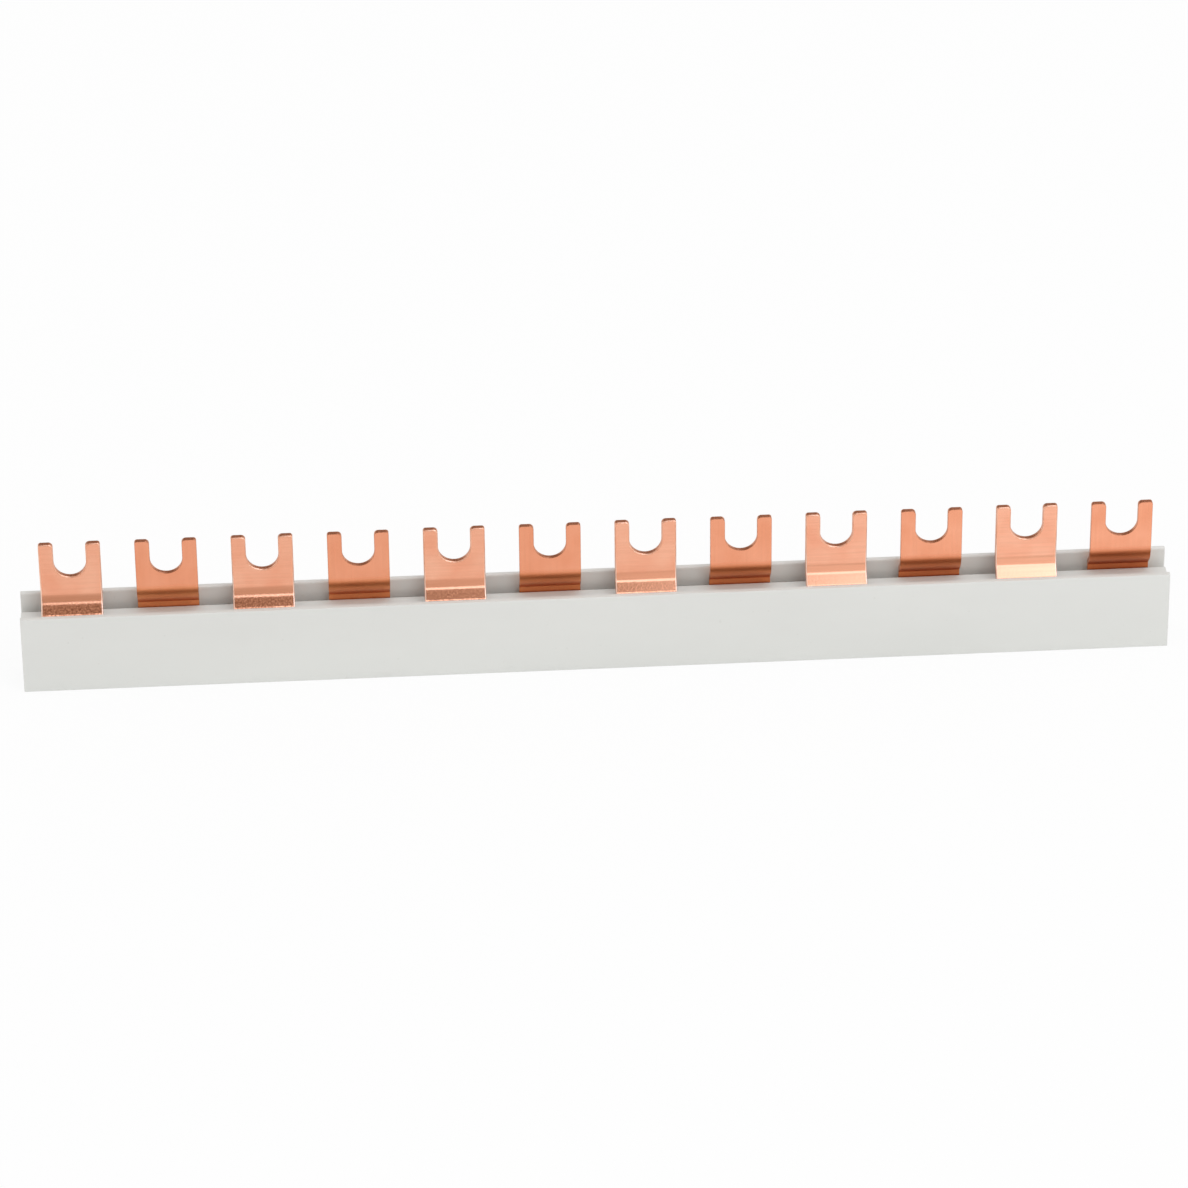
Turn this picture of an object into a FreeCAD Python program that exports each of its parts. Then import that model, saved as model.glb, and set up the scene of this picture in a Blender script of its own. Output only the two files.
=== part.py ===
# Comb busbar, two poles, twelve modules, fork type. Lengths are in millimetres.
#
# A grey plastic extrusion holds two copper combs, each stamped and bent from one strip. The combs
# are the same piece: the rear one is turned end for end, so that its forks stand in the gaps of
# the front one, and all twelve forks stand in one plane, one for each module.
#
# Frame: origin at the centre of the underside, +X along the busbar, -Y towards the front wall
# (the lower one), +Z up, the way the forks point.

import FreeCAD, Part
import math
import os
import Sketcher

PARTS_FOLDER = "parts"

# Driving dimensions: alias, value, what it measures.
DIMENSIONS = [
    ("pitch", 17.8, "from one fork to the next, one module of the board"),
    ("forks_per_comb", 6, "forks on one copper comb"),
    ("end_extra", 0.45, "housing past the last half module, at each end"),
    ("housing_depth", 8.8, "front face to back face"),
    ("front_height", 15.8, "front wall"),
    ("back_rise", 1.15, "how far the back wall stands above the front wall"),
    ("rib_drop", 2.15, "how far the middle rib stays below the front wall"),
    ("wall", 1.05, "front and back wall thickness"),
    ("floor_thickness", 1.2, "floor under the slots"),
    ("rib_skin", 0.9, "skin round the hollow of the middle rib"),
    ("rim_radius", 0.5, "rounding of the back wall's rim"),
    ("edge_radius", 0.25, "rounding of the long edges under the housing"),
    ("copper", 1.15, "copper thickness"),
    ("slot_play", 0.25, "slot width less copper thickness"),
    ("comb_shift", 0.35, "how far both combs are pushed towards +X"),
    ("spine_overhang", 1.6, "spine past the outer side of its first fork"),
    ("spine_drop", 5.6, "how far the copper spine stays below the front wall"),
    ("fork_rise", 13.7, "fork tips above the front wall"),
    ("fork_width", 11.45, "across one fork"),
    ("mouth_width", 6.0, "across the mouth of a fork"),
    ("mouth_depth", 7.05, "fork tip to the bottom of its mouth"),
    ("outer_tip_radius", 0.5, "outer corner of a prong"),
    ("inner_tip_radius", 0.8, "inner corner of a prong"),
    ("root_radius", 1.0, "corner between a fork and its spine"),
    ("bend_rise", 3.65, "start of the upper bend above the front wall"),
    ("bend_angle", 45.0, "slope of the cranked part from upright, in degrees"),
    ("upper_bend", 4.3, "upper bend radius at mid thickness"),
    ("lower_bend", 1.2, "lower bend radius at mid thickness"),
]

# Sketch numbers of the origin's axes and point, and of a line's start, end and centre.
X_AXIS = -1
ORIGIN = (-1, 1)
START = 1
END = 2
CENTRE = 3


class Size:
    """A length that knows its number now and its formula in the spreadsheet."""

    def __init__(self, value, formula):
        self.value = value
        self.formula = formula

    def _joined(self, sign, other, value):
        formula = other.formula if isinstance(other, Size) else repr(other)
        return Size(value, "(" + self.formula + " " + sign + " " + formula + ")")

    def __add__(self, other):
        return self._joined("+", other, self.value + number(other))

    def __sub__(self, other):
        return self._joined("-", other, self.value - number(other))

    def __mul__(self, other):
        return self._joined("*", other, self.value * number(other))

    def __truediv__(self, other):
        return self._joined("/", other, self.value / number(other))

    def __neg__(self):
        return Size(-self.value, "(0 - " + self.formula + ")")


def number(size):
    return size.value if isinstance(size, Size) else size


def make_sheet(doc):
    sheet = doc.addObject("Spreadsheet::Sheet", "Sizes")
    for row, (alias, value, meaning) in enumerate(DIMENSIONS, start=1):
        sheet.set("A" + str(row), meaning)
        sheet.set("B" + str(row), str(value))
        sheet.setAlias("B" + str(row), alias)
    doc.recompute()
    return {alias: Size(float(sheet.get(alias)), "Sizes." + alias) for alias, _, _ in DIMENSIONS}


def make_body(doc, label):
    body = doc.addObject("PartDesign::Body", label)
    body.Label = label
    return body


def make_sketch(body, name, plane_role):
    planes = [item for item in body.Origin.OriginFeatures if item.Role == plane_role]
    sketch = body.newObject("Sketcher::SketchObject", name)
    sketch.AttachmentSupport = [(planes[0], "")]
    sketch.MapMode = "FlatFace"
    return sketch


def fix(sketch, kind, geometry, size):
    """Adds a constraint whose value follows the spreadsheet."""
    index = sketch.addConstraint(Sketcher.Constraint(kind, *geometry, number(size)))
    sketch.setExpression("Constraints[" + str(index) + "]", size.formula)


def fix_place(sketch, kind, point, size):
    """Holds one coordinate of a point, kind DistanceX or DistanceY, from the sketch's origin."""
    if number(size) < 0:
        fix(sketch, kind, (*point, *ORIGIN), -size)
    else:
        fix(sketch, kind, (*ORIGIN, *point), size)


def add_stepped_outline(sketch, corners):
    """Draws a closed outline of level and upright lines. Each corner gives (across, up), and one
    of the two stays the same from each corner to the next."""
    first = sketch.GeometryCount
    points = [FreeCAD.Vector(number(across), number(up), 0) for across, up in corners]
    count = len(points)
    for i in range(count):
        sketch.addGeometry(Part.LineSegment(points[i], points[(i + 1) % count]))
    for i in range(count):
        following = (i + 1) % count
        sketch.addConstraint(Sketcher.Constraint("Coincident", first + i, END, first + following, START))
    for i, (across, up) in enumerate(corners):
        following = (i + 1) % count
        if abs(points[i].x - points[following].x) < abs(points[i].y - points[following].y):
            sketch.addConstraint(Sketcher.Constraint("Vertical", first + i))
            fix_place(sketch, "DistanceX", (first + i, START), across)
        else:
            sketch.addConstraint(Sketcher.Constraint("Horizontal", first + i))
            fix_place(sketch, "DistanceY", (first + i, START), up)


def add_sweep(body, kind, name, sketch, length):
    """Adds a pad or a pocket that reaches half its length to each side of the sketch."""
    feature = body.newObject(kind, name)
    feature.Profile = sketch
    feature.SideType = "Symmetric"
    feature.setExpression("Length", length.formula)
    return feature


def add_pattern(body, name, original, axis_sketch, length, occurrences):
    pattern = body.newObject("PartDesign::LinearPattern", name)
    pattern.Originals = [original]
    pattern.Direction = (axis_sketch, ["H_Axis"])
    pattern.Mode = "Extent"
    pattern.setExpression("Length", length.formula)
    pattern.setExpression("Occurrences", occurrences.formula)
    body.Tip = pattern
    return pattern


def add_fillet(body, name, base, radius, is_wanted):
    """Rounds every edge of the base whose middle point and direction is_wanted accepts."""
    body.Document.recompute()
    edges = []
    for i, edge in enumerate(base.Shape.Edges, start=1):
        if isinstance(edge.Curve, Part.Line) and is_wanted(edge.CenterOfMass, edge.Curve.Direction):
            edges.append("Edge" + str(i))
    if not edges:
        raise RuntimeError(name + " found no edge")
    fillet = body.newObject("PartDesign::Fillet", name)
    fillet.Base = (base, edges)
    fillet.setExpression("Radius", radius.formula)
    body.Tip = fillet
    return fillet


def near(a, b):
    tolerance = 1e-4
    return abs(a - b) < tolerance


def make_housing(doc, size):
    """One extrusion: floor, front wall, higher back wall, and a hollow rib between two slots."""
    half_depth = size["housing_depth"] / 2
    inner_face = half_depth - size["wall"]
    rib_face = inner_face - size["copper"] - size["slot_play"]
    chamber_face = rib_face - size["rib_skin"]
    ground = Size(0.0, "0")
    floor_top = size["floor_thickness"]
    front_top = size["front_height"]
    back_top = front_top + size["back_rise"]
    rib_top = front_top - size["rib_drop"]

    body = make_body(doc, "housing")
    section = make_sketch(body, "housing_section", "YZ_Plane")
    add_stepped_outline(section, [
        (-half_depth, ground), (half_depth, ground), (half_depth, back_top), (inner_face, back_top),
        (inner_face, floor_top), (rib_face, floor_top), (rib_face, rib_top), (-rib_face, rib_top),
        (-rib_face, floor_top), (-inner_face, floor_top), (-inner_face, front_top), (-half_depth, front_top),
    ])
    add_stepped_outline(section, [
        (-chamber_face, floor_top), (chamber_face, floor_top),
        (chamber_face, rib_top - size["rib_skin"]), (-chamber_face, rib_top - size["rib_skin"]),
    ])
    extrusion = add_sweep(body, "PartDesign::Pad", "extrusion", section, housing_length(size))
    rim_limit = Size(min(size["rim_radius"].value, 0.48 * size["wall"].value),
                     "min(Sizes.rim_radius; 0.48 * Sizes.wall)")
    rim = add_fillet(body, "rounded_rim", extrusion, rim_limit,
                     lambda middle, along: near(middle.z, back_top.value) and near(abs(along.x), 1))
    add_fillet(body, "rounded_underside", rim, size["edge_radius"],
               lambda middle, along: near(middle.z, 0) and near(abs(along.x), 1))
    return body


def housing_length(size):
    return size["pitch"] * size["forks_per_comb"] * 2 + size["end_extra"] * 2


def add_cranked_outline(sketch, size):
    """Draws the edge-on outline of the copper sheet: spine, lower bend, slope, upper bend, plate.

    The front side of the sheet is the outside of the lower bend and the inside of the upper one.
    Both sides of a bend share its centre."""
    half_copper = size["copper"] / 2
    spine_plane = size["housing_depth"] / 2 - size["wall"] - size["slot_play"] / 2 - half_copper
    bottom = size["floor_thickness"]
    tip = size["front_height"] + size["fork_rise"]
    upper_level = size["front_height"] + size["bend_rise"]

    angle = math.radians(size["bend_angle"].value)
    upper, lower, half = size["upper_bend"].value, size["lower_bend"].value, half_copper.value
    spine_y = -spine_plane.value
    slope_offset = spine_plane.value - (upper + lower) * (1 - math.cos(angle))
    slope_length = slope_offset / math.sin(angle)
    if slope_length <= 0:
        raise RuntimeError("the bends leave no straight slope between them")
    lower_level = upper_level.value - (upper + lower) * math.sin(angle) - slope_length * math.cos(angle)
    lower_centre = FreeCAD.Vector(spine_y + lower, lower_level, 0)
    upper_centre = FreeCAD.Vector(-upper, upper_level.value, 0)

    def arc(centre, radius, from_angle, to_angle):
        circle = Part.Circle(centre, FreeCAD.Vector(0, 0, 1), radius)
        return sketch.addGeometry(Part.ArcOfCircle(circle, from_angle, to_angle))

    def line(start, end):
        return sketch.addGeometry(Part.LineSegment(start, end))

    def on_lower(radius, turn):
        return lower_centre + FreeCAD.Vector(-radius * math.cos(turn), radius * math.sin(turn), 0)

    def on_upper(radius, turn):
        return upper_centre + FreeCAD.Vector(radius * math.cos(turn), -radius * math.sin(turn), 0)

    def side(lower_radius, upper_radius, offset):
        """One side of the sheet, from the bottom of the spine to the tip."""
        spine = line(FreeCAD.Vector(spine_y + offset, bottom.value, 0), on_lower(lower_radius, 0))
        low = arc(lower_centre, lower_radius, math.pi - angle, math.pi)
        slope = line(on_lower(lower_radius, angle), on_upper(upper_radius, angle))
        high = arc(upper_centre, upper_radius, -angle, 0)
        plate = line(on_upper(upper_radius, 0), FreeCAD.Vector(offset, tip.value, 0))
        for joint in ((spine, END, low, END), (low, START, slope, START), (slope, END, high, START),
                      (high, END, plate, START)):
            sketch.addConstraint(Sketcher.Constraint("Tangent", *joint))
        sketch.addConstraint(Sketcher.Constraint("Vertical", spine))
        sketch.addConstraint(Sketcher.Constraint("Vertical", plate))
        return spine, low, slope, high, plate

    front = side(lower + half, upper - half, -half)
    back = side(lower - half, upper + half, half)
    foot = line(FreeCAD.Vector(spine_y - half, bottom.value, 0), FreeCAD.Vector(spine_y + half, bottom.value, 0))
    top = line(FreeCAD.Vector(-half, tip.value, 0), FreeCAD.Vector(half, tip.value, 0))
    for joint in ((foot, START, front[0], START), (foot, END, back[0], START), (top, START, front[4], END),
                  (top, END, back[4], END), (front[1], CENTRE, back[1], CENTRE),
                  (front[3], CENTRE, back[3], CENTRE)):
        sketch.addConstraint(Sketcher.Constraint("Coincident", *joint))
    sketch.addConstraint(Sketcher.Constraint("Horizontal", foot))
    sketch.addConstraint(Sketcher.Constraint("Horizontal", top))
    fix(sketch, "Radius", (front[1],), size["lower_bend"] + half_copper)
    fix(sketch, "Radius", (back[1],), size["lower_bend"] - half_copper)
    fix(sketch, "Radius", (front[3],), size["upper_bend"] - half_copper)
    fix(sketch, "Radius", (back[3],), size["upper_bend"] + half_copper)
    fix_place(sketch, "DistanceX", (foot, START), -(spine_plane + half_copper))
    fix_place(sketch, "DistanceX", (top, START), -half_copper)
    fix_place(sketch, "DistanceY", (foot, START), bottom)
    fix_place(sketch, "DistanceY", (top, START), tip)
    fix_place(sketch, "DistanceY", (front[3], CENTRE), upper_level)
    slope_from_level = Size(math.pi / 2 - angle, "(90 deg - Sizes.bend_angle * 1 deg)")
    fix(sketch, "Angle", (X_AXIS, START, front[2], START), slope_from_level)


def add_mouth_outline(sketch, centre, half_width, bottom, top):
    """Draws a fork's mouth: two upright sides and a half-round bottom."""
    middle = bottom + half_width
    x, radius = centre.value, half_width.value
    left, right = x - radius, x + radius
    up = [FreeCAD.Vector(right, middle.value, 0), FreeCAD.Vector(right, top.value, 0)]
    down = [FreeCAD.Vector(left, top.value, 0), FreeCAD.Vector(left, middle.value, 0)]
    round_bottom = Part.Circle(FreeCAD.Vector(x, middle.value, 0), FreeCAD.Vector(0, 0, 1), radius)
    bow = sketch.addGeometry(Part.ArcOfCircle(round_bottom, math.pi, 2 * math.pi))
    right_side = sketch.addGeometry(Part.LineSegment(*up))
    lid = sketch.addGeometry(Part.LineSegment(up[1], down[0]))
    left_side = sketch.addGeometry(Part.LineSegment(*down))
    sketch.addConstraint(Sketcher.Constraint("Tangent", bow, END, right_side, START))
    sketch.addConstraint(Sketcher.Constraint("Tangent", left_side, END, bow, START))
    sketch.addConstraint(Sketcher.Constraint("Coincident", right_side, END, lid, START))
    sketch.addConstraint(Sketcher.Constraint("Coincident", lid, END, left_side, START))
    sketch.addConstraint(Sketcher.Constraint("Vertical", right_side))
    sketch.addConstraint(Sketcher.Constraint("Vertical", left_side))
    sketch.addConstraint(Sketcher.Constraint("Horizontal", lid))
    fix(sketch, "Radius", (bow,), half_width)
    fix_place(sketch, "DistanceX", (bow, CENTRE), centre)
    fix_place(sketch, "DistanceY", (bow, CENTRE), middle)
    fix_place(sketch, "DistanceY", (lid, START), top)


def make_comb(doc, size, label, is_turned):
    """One strip of copper, cranked along its length, then cut to a spine with a row of forks."""
    fork_step = size["pitch"] * 2
    first_fork = size["pitch"] / 2 - size["pitch"] * size["forks_per_comb"]
    last_fork = first_fork + fork_step * (size["forks_per_comb"] - 1)
    half_fork = size["fork_width"] / 2
    half_spine = -first_fork + half_fork + size["spine_overhang"]
    spine_top = size["front_height"] - size["spine_drop"]
    tip = size["front_height"] + size["fork_rise"]
    above_tip = tip + size["copper"]
    past_end = half_spine + size["copper"]
    through = size["housing_depth"] * 2

    body = make_body(doc, label)
    side_view = make_sketch(body, label + "_side_view", "YZ_Plane")
    add_cranked_outline(side_view, size)
    strip = add_sweep(body, "PartDesign::Pad", label + "_strip", side_view, half_spine * 2)

    gap_view = make_sketch(body, label + "_gap_view", "XZ_Plane")
    add_stepped_outline(gap_view, [
        (first_fork + half_fork, spine_top), (first_fork + fork_step - half_fork, spine_top),
        (first_fork + fork_step - half_fork, above_tip), (first_fork + half_fork, above_tip),
    ])
    gap = add_sweep(body, "PartDesign::Pocket", label + "_gap", gap_view, through)
    add_pattern(body, label + "_gaps", gap, gap_view, fork_step * (size["forks_per_comb"] - 2),
                size["forks_per_comb"] - 1)

    end_view = make_sketch(body, label + "_end_view", "XZ_Plane")
    add_stepped_outline(end_view, [
        (-past_end, spine_top), (first_fork - half_fork, spine_top),
        (first_fork - half_fork, above_tip), (-past_end, above_tip),
    ])
    add_stepped_outline(end_view, [
        (last_fork + half_fork, spine_top), (past_end, spine_top),
        (past_end, above_tip), (last_fork + half_fork, above_tip),
    ])
    add_sweep(body, "PartDesign::Pocket", label + "_ends", end_view, through)

    mouth_view = make_sketch(body, label + "_mouth_view", "XZ_Plane")
    add_mouth_outline(mouth_view, first_fork, size["mouth_width"] / 2, tip - size["mouth_depth"], above_tip)
    mouth = add_sweep(body, "PartDesign::Pocket", label + "_mouth", mouth_view, through)
    mouths = add_pattern(body, label + "_mouths", mouth, mouth_view,
                         fork_step * (size["forks_per_comb"] - 1), size["forks_per_comb"])

    step, start = fork_step.value, first_fork.value

    def from_fork_middle(x):
        return abs((x - start + step / 2) % step - step / 2)

    def is_corner(middle, along, distance, level):
        return near(abs(along.y), 1) and near(middle.z, level) and near(from_fork_middle(middle.x), distance)

    rounded = add_fillet(body, label + "_outer_corners", mouths, size["outer_tip_radius"],
                         lambda m, a: is_corner(m, a, half_fork.value, tip.value))
    rounded = add_fillet(body, label + "_inner_corners", rounded, size["inner_tip_radius"],
                         lambda m, a: is_corner(m, a, size["mouth_width"].value / 2, tip.value))
    if strip.Shape.Volume <= rounded.Base[0].Shape.Volume:
        raise RuntimeError(label + " was not cut")
    add_fillet(body, label + "_roots", rounded, size["root_radius"],
               lambda m, a: is_corner(m, a, half_fork.value, spine_top.value))

    if is_turned:
        body.Placement.Rotation = FreeCAD.Rotation(FreeCAD.Vector(0, 0, 1), 180)
    body.setExpression("Placement.Base.x", size["comb_shift"].formula)
    return body


def check_document(doc, bodies):
    for item in doc.Objects:
        if "Invalid" in item.State or "Error" in item.State:
            raise RuntimeError(item.Label + " failed: " + ", ".join(item.State))
    for body in bodies:
        if body.Shape.isNull() or not body.Shape.isValid() or len(body.Shape.Solids) != 1:
            raise RuntimeError(body.Label + " is not one sound solid")


def main():
    doc = FreeCAD.newDocument("comb_busbar")
    size = make_sheet(doc)
    bodies = [
        make_housing(doc, size),
        make_comb(doc, size, "front_comb", False),
        make_comb(doc, size, "rear_comb", True),
    ]
    doc.recompute()
    check_document(doc, bodies)
    os.makedirs(PARTS_FOLDER, exist_ok=True)
    for body in bodies:
        body.Shape.exportStep(os.path.join(PARTS_FOLDER, body.Label + ".step"))
        box = body.Shape.BoundBox
        print(body.Label, "volume", round(body.Shape.Volume, 1), "mm3, faces", len(body.Shape.Faces),
              "from", [round(v, 3) for v in (box.XMin, box.YMin, box.ZMin)],
              "to", [round(v, 3) for v in (box.XMax, box.YMax, box.ZMax)])


main()
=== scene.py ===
# %% [markdown]
# # A comb busbar: copper forks in a grey plastic channel
#
# A comb busbar links a row of circuit breakers. A long grey plastic channel holds two copper combs,
# and their forks stand out of it in one row, one for each breaker. This lesson models the channel
# and the combs in the order in which a workshop would make them, gives them materials, and lights
# them in a small white studio.
#
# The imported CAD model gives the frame: what is modelled here has the same size, in the same place.

import math

import bmesh
import bpy
from mathutils import Matrix, Vector


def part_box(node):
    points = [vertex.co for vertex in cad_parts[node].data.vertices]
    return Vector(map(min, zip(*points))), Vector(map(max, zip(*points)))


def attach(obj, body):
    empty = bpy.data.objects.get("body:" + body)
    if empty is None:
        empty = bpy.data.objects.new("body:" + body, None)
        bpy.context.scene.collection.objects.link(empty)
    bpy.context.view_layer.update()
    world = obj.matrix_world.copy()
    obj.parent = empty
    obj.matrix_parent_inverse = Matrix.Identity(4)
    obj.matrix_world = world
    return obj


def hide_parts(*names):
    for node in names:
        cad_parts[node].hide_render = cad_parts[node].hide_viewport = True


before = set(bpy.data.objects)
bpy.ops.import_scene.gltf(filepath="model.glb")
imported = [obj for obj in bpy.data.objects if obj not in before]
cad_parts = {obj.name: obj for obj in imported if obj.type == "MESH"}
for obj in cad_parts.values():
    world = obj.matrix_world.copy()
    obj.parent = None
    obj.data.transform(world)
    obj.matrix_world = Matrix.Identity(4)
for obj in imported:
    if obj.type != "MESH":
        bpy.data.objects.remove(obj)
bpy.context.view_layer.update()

# %% [markdown]
# ## Working by hand, in code
#
# Each piece starts as a primitive and is shaped in edit mode, as it would be with the mouse. An
# operator acts on all that is selected, so helpers come first: one adds a box with nothing else
# selected, one selects a single object, and one picks faces, edges or vertices by their place.

# %% Helpers for modelling
MM = 0.001
X, Y, Z = range(3)

# Lengths closer than TINY count as the same. FACING and STRAIGHT say how truly a face has to look
# along an axis, and an edge run along it, to be picked.
TINY = 0.001 * MM
FACING = 0.9
STRAIGHT = 0.999


def add_box(name, low, high):
    """Adds a box between two corners as a new object."""
    bpy.ops.object.select_all(action="DESELECT")
    low, high = Vector(low), Vector(high)
    bpy.ops.mesh.primitive_cube_add(size=1, location=(low + high) / 2, scale=high - low)
    bpy.ops.object.transform_apply(location=True, rotation=True, scale=True)
    bpy.context.object.name = name
    return bpy.context.object


def select_alone(piece):
    """Selects one object and makes it the active one, with all others deselected."""
    bpy.ops.object.select_all(action="DESELECT")
    piece.select_set(True)
    bpy.context.view_layer.objects.active = piece


def pick(kind, test):
    """In edit mode, selects the faces, edges or verts that the test accepts, and nothing else."""
    modes = {"verts": "VERT", "edges": "EDGE", "faces": "FACE"}
    bpy.ops.mesh.select_mode(type=modes[kind])
    bpy.ops.mesh.select_all(action="DESELECT")
    mesh = bpy.context.edit_object.data
    edited = bmesh.from_edit_mesh(mesh)
    chosen = [item for item in getattr(edited, kind) if test(item)]
    for item in chosen:
        item.select_set(True)
    bmesh.update_edit_mesh(mesh)
    return len(chosen)


def cut_across(axis, places):
    """Cuts the whole mesh by planes square to an axis."""
    normal = [0, 0, 0]
    normal[axis] = 1
    for place in places:
        point = [0, 0, 0]
        point[axis] = place
        bpy.ops.mesh.select_mode(type="FACE")
        bpy.ops.mesh.select_all(action="SELECT")
        bpy.ops.mesh.bisect(plane_co=point, plane_no=normal)


def middle(item):
    """The middle of an edge or a face."""
    return sum((vert.co for vert in item.verts), Vector()) / len(item.verts)


def along(edge, axis):
    """Whether an edge runs along an axis."""
    run = edge.verts[1].co - edge.verts[0].co
    return abs(run[axis]) > STRAIGHT * run.length


def same(a, b):
    return abs(a - b) < TINY


def finish_edit(sharp_angle):
    """Leaves edit mode, and shades smooth between faces that meet at less than an angle.

    A broad flat face keeps its own direction up to its rounded edge, because each face counts by
    its area. Without that, a reflection would bend over the whole face.
    """
    bpy.ops.object.mode_set(mode="OBJECT")
    bpy.ops.object.shade_smooth_by_angle(angle=math.radians(sharp_angle))
    piece = bpy.context.object
    even = piece.modifiers.new("broad_faces_first", "WEIGHTED_NORMAL")
    even.keep_sharp = True
    bpy.ops.object.modifier_apply(modifier=even.name)
    print(piece.name, "has", len(piece.data.polygons), "faces")
    return piece


# %% [markdown]
# ## The channel
#
# On the real product it is rigid PVC, pushed hot through a die and sawn to length, so its section
# is the same all along. It could be a curve with a bevel shape, or a section that is extruded
# once. Growing it from the floor up, wall by wall, shows what each part of it does, and every wall
# can be moved later.

# %% Start with the floor of the channel
HOUSING_LOW, HOUSING_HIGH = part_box("housing")
HALF_LENGTH = HOUSING_HIGH[X]
HALF_DEPTH = HOUSING_HIGH[Y]
BACK_TOP = HOUSING_HIGH[Z]
FRONT_TOP = 15.8 * MM
RIB_TOP = 13.65 * MM
FLOOR_TOP = 1.2 * MM
WALL = 1.05 * MM
SLOT = 1.4 * MM
RIB_SKIN = 0.9 * MM

wall_inside = HALF_DEPTH - WALL
rib_outside = wall_inside - SLOT
rib_inside = rib_outside - RIB_SKIN

housing = add_box("pvc_channel", HOUSING_LOW, (HALF_LENGTH, HALF_DEPTH, FLOOR_TOP))
bpy.ops.object.mode_set(mode="EDIT")
for y in (wall_inside, rib_outside, rib_inside):
    cut_across(Y, (-y, y))
print("floor cut into", len(bmesh.from_edit_mesh(housing.data).faces), "faces")


# %% Raise the two walls and the two webs of the rib
def raise_strip(low_y, high_y, bottom, top):
    """Extrudes the upward faces at one height, between two places along Y, up to another height."""
    count = pick("faces", lambda face: face.normal.z > FACING
                 and same(middle(face).z, bottom) and low_y < middle(face).y < high_y)
    bpy.ops.mesh.extrude_region_move(TRANSFORM_OT_translate={"value": (0, 0, top - bottom)})
    print("raised", count, "strip to", round(top / MM, 2), "mm")


raise_strip(-HALF_DEPTH, -wall_inside, FLOOR_TOP, FRONT_TOP)
raise_strip(wall_inside, HALF_DEPTH, FLOOR_TOP, BACK_TOP)
for low_y, high_y in ((-rib_outside, -rib_inside), (rib_inside, rib_outside)):
    raise_strip(low_y, high_y, FLOOR_TOP, RIB_TOP - RIB_SKIN)
    raise_strip(low_y, high_y, RIB_TOP - RIB_SKIN, RIB_TOP)

# %% Close the rib over its hollow
inner = pick("faces", lambda face: abs(face.normal.y) > FACING
             and same(abs(middle(face).y), rib_inside) and middle(face).z > RIB_TOP - RIB_SKIN)
bpy.ops.mesh.bridge_edge_loops()
print("bridged", inner, "faces")

# %% [markdown]
# A die leaves every edge a little round. The rim of the higher wall is rounded most: it has no
# flat top at all. The bevel of the other edges is small, but without it no edge would catch light.

# %% Round the edges as the die does
RIM_ROUND = 0.49 * MM
DIE_ROUND = 0.12 * MM
SHARP = math.radians(50)

rim = pick("edges", lambda edge: along(edge, X) and same(middle(edge).z, BACK_TOP))
bpy.ops.mesh.bevel(offset=RIM_ROUND, segments=5, affect="EDGES")
print("rounded", rim, "edges of the rim")


def is_sharp(edge):
    return edge.calc_face_angle(0) > SHARP


sharp = pick("edges", is_sharp)
bpy.ops.mesh.bevel(offset=DIE_ROUND, segments=2, affect="EDGES")
print("softened", sharp, "edges")
housing = finish_edit(sharp_angle=40)

# %% [markdown]
# ## A copper comb
#
# A press punches the comb out of copper strip and then cranks its forks, so that they stand over
# the middle of the channel while the spine lies in a slot at its side. Cutting the finished shape
# out of a bent sheet is possible, but the bends would need to be drawn exactly. The lesson does
# what the press does: a flat blank first, then its rounded edges, and the bends last.

# %% Sizes of the comb
COPPER = 1.15 * MM
ROW_CENTRE = 0.35 * MM
PITCH = 17.8 * MM
FORKS_PER_COMB = 6
FORK_WIDTH = 11.45 * MM
SPINE_OVERHANG = 1.6 * MM
SPINE_TOP = 10.2 * MM
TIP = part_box("front_comb")[1][Z]
SPINE_PLANE = -2.65 * MM
LOWER_BEND = 1.2 * MM
UPPER_BEND = 4.3 * MM
BEND_ANGLE = math.radians(45)
UPPER_BEND_END = 19.45 * MM

fork_step = 2 * PITCH
first_fork = ROW_CENTRE - (FORKS_PER_COMB - 0.5) * PITCH
fork_centres = [first_fork + i * fork_step for i in range(FORKS_PER_COMB)]
flank = (-SPINE_PLANE - (LOWER_BEND + UPPER_BEND) * (1 - math.cos(BEND_ANGLE))) / math.sin(BEND_ANGLE)
crank_rise = (LOWER_BEND + UPPER_BEND) * math.sin(BEND_ANGLE) + flank * math.cos(BEND_ANGLE)
print("straight flank between the bends:", round(flank / MM, 3), "mm")

# %% [markdown]
# A bend is a row of small turns. Each row of vertices is a place along the flat strip and the
# angle that the strip turns there. Walking along the rows with those turns tells where the strip
# ends up, and so how long the flat blank has to be.


# %% Plan the rows of the two bends
def bend_rows(start, radius, angle, steps):
    """Places along the flat strip and turns there. The first and the last turn are half ones."""
    row_gap = radius * abs(angle) / steps
    turns = [angle / steps] * (steps + 1)
    turns[0] /= 2
    turns[-1] /= 2
    return [(start + i * row_gap, turn) for i, turn in enumerate(turns)]


LOWER_STEPS = 8
UPPER_STEPS = 12

lower_start = UPPER_BEND_END - crank_rise
lower_rows = bend_rows(lower_start, LOWER_BEND, BEND_ANGLE, LOWER_STEPS)
upper_start = lower_rows[-1][0] + flank
upper_rows = bend_rows(upper_start, UPPER_BEND, -BEND_ANGLE, UPPER_STEPS)
rows = lower_rows + upper_rows


def walk(flat_rows):
    """The pivot (y, z) of each row on the middle of the sheet, once the rows before it are bent."""
    pivots = []
    y, z, lean, place = SPINE_PLANE, flat_rows[0][0], 0.0, flat_rows[0][0]
    for next_place, turn in flat_rows:
        y += (next_place - place) * math.sin(lean)
        z += (next_place - place) * math.cos(lean)
        pivots.append((y, z))
        lean += turn
        place = next_place
    return pivots


pivots = walk(rows)
flat_tip = rows[-1][0] + TIP - pivots[-1][1]
print("flat blank reaches", round(flat_tip / MM, 2), "mm")
print("the plates end up at y =", round(pivots[-1][0] / MM, 4), "mm")

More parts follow.
